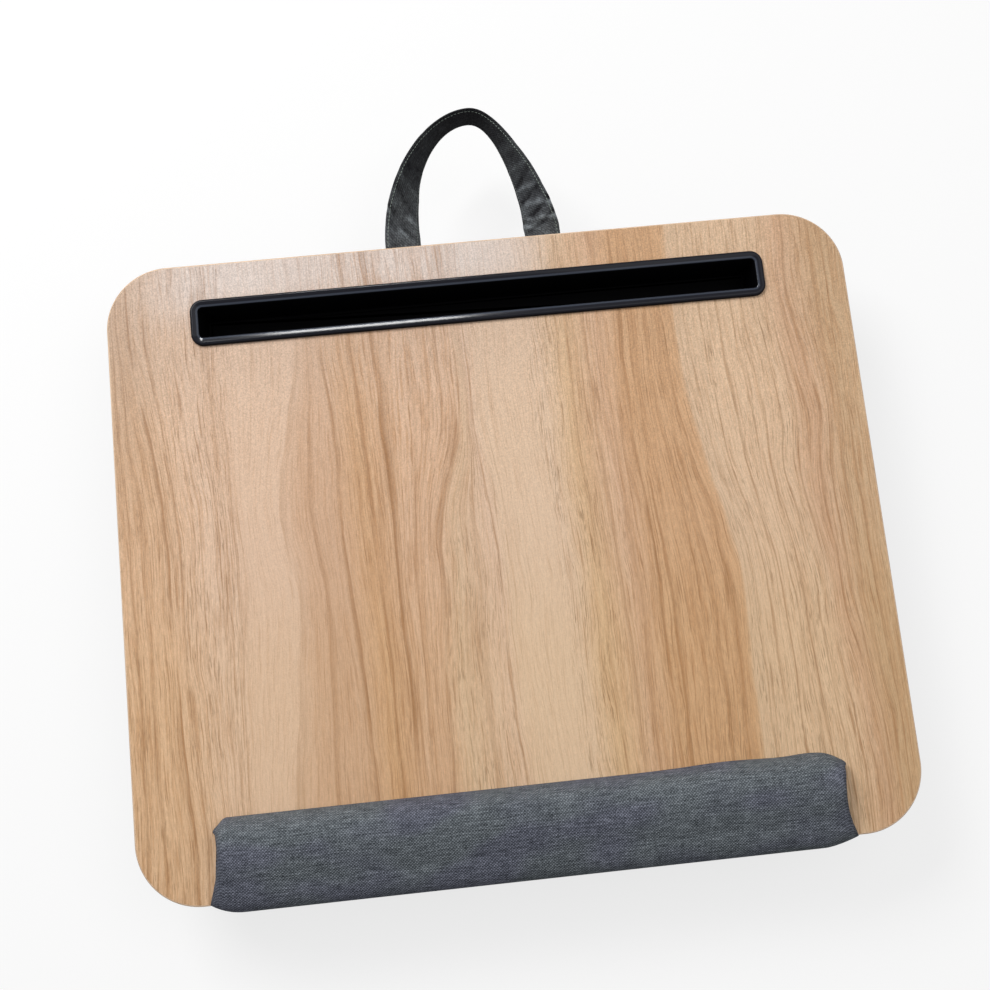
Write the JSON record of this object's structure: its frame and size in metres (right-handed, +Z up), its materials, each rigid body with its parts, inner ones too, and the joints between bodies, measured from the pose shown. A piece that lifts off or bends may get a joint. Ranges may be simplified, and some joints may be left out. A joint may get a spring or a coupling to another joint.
{
  "type": "cushioned lap desk",
  "caption": "Cushioned lap desk: laminated board with device slot tray, padded wrist rest over its front edge, bolster cushion below and a swinging strap handle.",
  "frame": {"origin": "middle of the whole part's footprint, wrist rest to handle loop, on the surface that the bolsters rest on", "axes": "+X to the user's right, +Y away from the user towards the strap handle, +Z up out of the board's top face"},
  "size_m": [0.4, 0.4156, 0.0748],
  "materials": {
    "fibreboard": "matte",
    "oak_laminate": "satin",
    "backing": "matte",
    "edge_band": "satin",
    "black_plastic": "satin",
    "foam": "matte",
    "heather_fabric": "matte",
    "cushion_fabric": "matte",
    "stuffing": "matte",
    "piping": "matte",
    "strap": "matte",
    "staple_wire": "satin"
  },
  "bodies": {
    "desk": {"board_core": "fibreboard", "grain_foil": "oak_laminate", "backing_foil": "backing", "edge_band": "edge_band", "slot_tray": "black_plastic", "wrist_rest_foam": "foam", "wrist_rest_cover": "heather_fabric", "wrist_rest_staples": "staple_wire", "cushion_top_panel": "cushion_fabric", "front_bolster_cover": "cushion_fabric", "rear_bolster_cover": "cushion_fabric", "front_bolster_fill": "stuffing", "rear_bolster_fill": "stuffing", "cushion_piping": "piping", "valley_seam": "piping", "cushion_staples": "staple_wire", "handle_tails": "strap", "handle_staples": "staple_wire"},
    "handle": {"handle_strap": "strap"}
  },
  "joints": [
    {"name": "handle_swing", "type": "hinge", "parent": "desk", "child": "handle", "pos_m": [0, 0.1312, 0.0521], "axis": [1, 0, 0], "range_deg": [-90, 90]}
  ]
}
